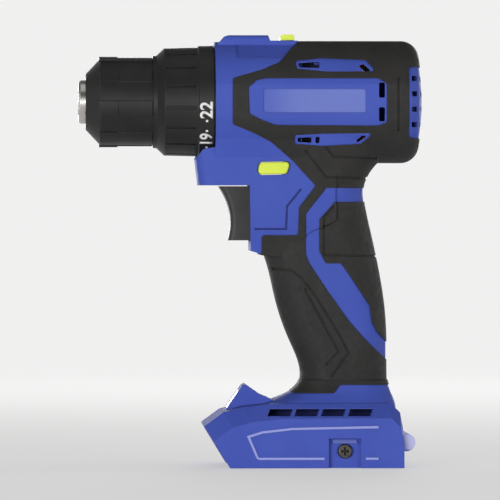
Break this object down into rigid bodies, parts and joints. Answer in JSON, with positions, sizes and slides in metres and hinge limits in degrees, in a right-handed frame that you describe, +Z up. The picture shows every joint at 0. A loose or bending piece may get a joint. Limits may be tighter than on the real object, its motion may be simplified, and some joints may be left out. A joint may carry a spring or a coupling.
{
  "type": "cordless drill driver",
  "caption": "Pistol-grip cordless drill driver, bare tool, with a keyless three-jaw chuck, torque collar, two-speed planetary gearbox, brushless motor and a slide-in battery foot.",
  "frame": {"origin": "middle of the overall box, at floor level under the foot", "axes": "+Z up, chuck towards -X, rear of the motor towards +X, left side of the tool towards -Y"},
  "size_m": [0.164, 0.075, 0.2056],
  "materials": {
    "blue_plastic": "fine satin grain",
    "grey_rubber": "soft-touch overmould",
    "black_plastic": "fine grain",
    "lime_plastic": "semi-gloss",
    "steel": "turned",
    "hard_steel": "hardened and ground",
    "cast_alloy": "die cast",
    "core_iron": "stacked laminations",
    "copper": "enamelled windings",
    "brass": "machined",
    "circuit_board": "solder mask",
    "lead_jacket": "silicone jacket",
    "clear_lens": "frosted clear"
  },
  "bodies": {
    "tool": {"housing_left": "blue_plastic", "housing_right": "blue_plastic", "grip_left": "grey_rubber", "grip_right": "grey_rubber", "housing_screws": "steel", "hook_screw": "steel", "hook_inserts": "brass", "gear_case": "cast_alloy", "collar_ring": "steel", "clutch_washer": "steel", "clutch_balls": "hard_steel", "clutch_spring": "hard_steel", "spindle_bearings": "steel", "ring_gear_1": "hard_steel", "ring_gear_3": "hard_steel", "motor_plate": "cast_alloy", "motor_bearings": "steel", "motor_stator": "core_iron", "motor_coils": "copper", "sensor_board": "circuit_board", "switch_module": "black_plastic", "control_board": "circuit_board", "terminal_block": "black_plastic", "terminal_blades": "brass", "battery_leads": "lead_jacket", "motor_leads": "lead_jacket", "led_lens": "clear_lens", "led_board": "circuit_board"},
    "rotor": {"motor_shaft": "hard_steel", "motor_pinion": "hard_steel", "motor_rotor": "core_iron", "motor_fan": "black_plastic"},
    "stage_block": {"carrier_1": "hard_steel", "carrier_2": "hard_steel", "planets_2": "hard_steel", "planet_pins_12": "hard_steel"},
    "planet_1a": {"planet_1a": "hard_steel"},
    "planet_1b": {"planet_1b": "hard_steel"},
    "planet_1c": {"planet_1c": "hard_steel"},
    "shift_ring": {"ring_gear_2": "hard_steel"},
    "output": {"spindle": "hard_steel", "carrier_3": "hard_steel", "planet_pins_3": "hard_steel", "chuck_body": "steel", "chuck_ring": "steel", "chuck_screw": "steel"},
    "planet_3a": {"planet_3a": "hard_steel"},
    "planet_3b": {"planet_3b": "hard_steel"},
    "planet_3c": {"planet_3c": "hard_steel"},
    "sleeve": {"chuck_sleeve": "black_plastic", "chuck_nut": "steel"},
    "jaw_1": {"chuck_jaw_1": "hard_steel"},
    "jaw_2": {"chuck_jaw_2": "hard_steel"},
    "jaw_3": {"chuck_jaw_3": "hard_steel"},
    "collar": {"torque_collar": "black_plastic"},
    "clutch_nut": {"clutch_nut": "black_plastic"},
    "trigger": {"trigger": "black_plastic"},
    "direction_button": {"direction_button": "lime_plastic"},
    "gear_selector": {"gear_selector": "lime_plastic", "shift_fork": "hard_steel"}
  },
  "joints": [
    {"name": "motor_spin", "type": "hinge", "parent": "tool", "child": "rotor", "pos_m": [0.04, 0, 0.1735], "axis": [1, 0, 0], "continuous": true},
    {"name": "stage_spin", "type": "hinge", "parent": "tool", "child": "stage_block", "pos_m": [0, 0, 0.1735], "axis": [1, 0, 0], "continuous": true},
    {"name": "chuck_spin", "type": "hinge", "parent": "tool", "child": "output", "pos_m": [-0.03, 0, 0.1735], "axis": [1, 0, 0], "continuous": true},
    {"name": "planet_1a_spin", "type": "hinge", "parent": "stage_block", "child": "planet_1a", "pos_m": [0.0058, 0, 0.1855], "axis": [1, 0, 0], "continuous": true},
    {"name": "planet_1b_spin", "type": "hinge", "parent": "stage_block", "child": "planet_1b", "pos_m": [0.0058, -0.01039, 0.1675], "axis": [1, 0, 0], "continuous": true},
    {"name": "planet_1c_spin", "type": "hinge", "parent": "stage_block", "child": "planet_1c", "pos_m": [0.0058, 0.01039, 0.1675], "axis": [1, 0, 0], "continuous": true},
    {"name": "planet_3a_spin", "type": "hinge", "parent": "output", "child": "planet_3a", "pos_m": [-0.0118, 0, 0.1855], "axis": [1, 0, 0], "continuous": true},
    {"name": "planet_3b_spin", "type": "hinge", "parent": "output", "child": "planet_3b", "pos_m": [-0.0118, -0.01039, 0.1675], "axis": [1, 0, 0], "continuous": true},
    {"name": "planet_3c_spin", "type": "hinge", "parent": "output", "child": "planet_3c", "pos_m": [-0.0118, 0.01039, 0.1675], "axis": [1, 0, 0], "continuous": true},
    {"name": "sleeve_turn", "type": "hinge", "parent": "output", "child": "sleeve", "pos_m": [-0.06, 0, 0.1735], "axis": [1, 0, 0], "range_deg": [0, 3600]},
    {"name": "jaw_1_slide", "type": "slide", "parent": "output", "child": "jaw_1", "axis": [-0.9659, 0, -0.2588], "range_m": [0, 0.021]},
    {"name": "jaw_2_slide", "type": "slide", "parent": "output", "child": "jaw_2", "axis": [-0.9659, 0.2241, 0.1294], "range_m": [0, 0.021]},
    {"name": "jaw_3_slide", "type": "slide", "parent": "output", "child": "jaw_3", "axis": [-0.9659, -0.2241, 0.1294], "range_m": [0, 0.021]},
    {"name": "collar_turn", "type": "hinge", "parent": "tool", "child": "collar", "pos_m": [-0.03, 0, 0.1735], "axis": [-1, 0, 0], "range_deg": [0, 337.5]},
    {"name": "clutch_slide", "type": "slide", "parent": "collar", "child": "clutch_nut", "axis": [-1, 0, 0], "range_m": [0, 0.005], "deforming": ["clutch_spring"]},
    {"name": "trigger_slide", "type": "slide", "parent": "tool", "child": "trigger", "axis": [1, 0, 0], "range_m": [0, 0.007], "stiffness_N_per_m": 900},
    {"name": "direction_slide", "type": "slide", "parent": "tool", "child": "direction_button", "axis": [0, 1, 0], "range_m": [-0.003, 0.003]},
    {"name": "gear_slide", "type": "slide", "parent": "tool", "child": "gear_selector", "axis": [-1, 0, 0], "range_m": [0, 0.004]},
    {"name": "shift_ring_slide", "type": "slide", "parent": "stage_block", "child": "shift_ring", "axis": [-1, 0, 0], "range_m": [0, 0.004]}
  ],
  "couplings": [
    {"joint": "stage_spin", "follows": "motor_spin", "ratio": 0.25},
    {"joint": "chuck_spin", "follows": "motor_spin", "ratio": 0.0625},
    {"joint": "planet_1a_spin", "follows": "motor_spin", "ratio": -0.75},
    {"joint": "planet_1b_spin", "follows": "motor_spin", "ratio": -0.75},
    {"joint": "planet_1c_spin", "follows": "motor_spin", "ratio": -0.75},
    {"joint": "planet_3a_spin", "follows": "motor_spin", "ratio": -0.1875},
    {"joint": "planet_3b_spin", "follows": "motor_spin", "ratio": -0.1875},
    {"joint": "planet_3c_spin", "follows": "motor_spin", "ratio": -0.1875},
    {"joint": "jaw_1_slide", "follows": "sleeve_turn", "m_per_rad": 0.00033423},
    {"joint": "jaw_2_slide", "follows": "sleeve_turn", "m_per_rad": 0.00033423},
    {"joint": "jaw_3_slide", "follows": "sleeve_turn", "m_per_rad": 0.00033423},
    {"joint": "clutch_slide", "follows": "collar_turn", "m_per_rad": 0.00084883},
    {"joint": "shift_ring_slide", "follows": "gear_slide", "ratio": 1}
  ]
}
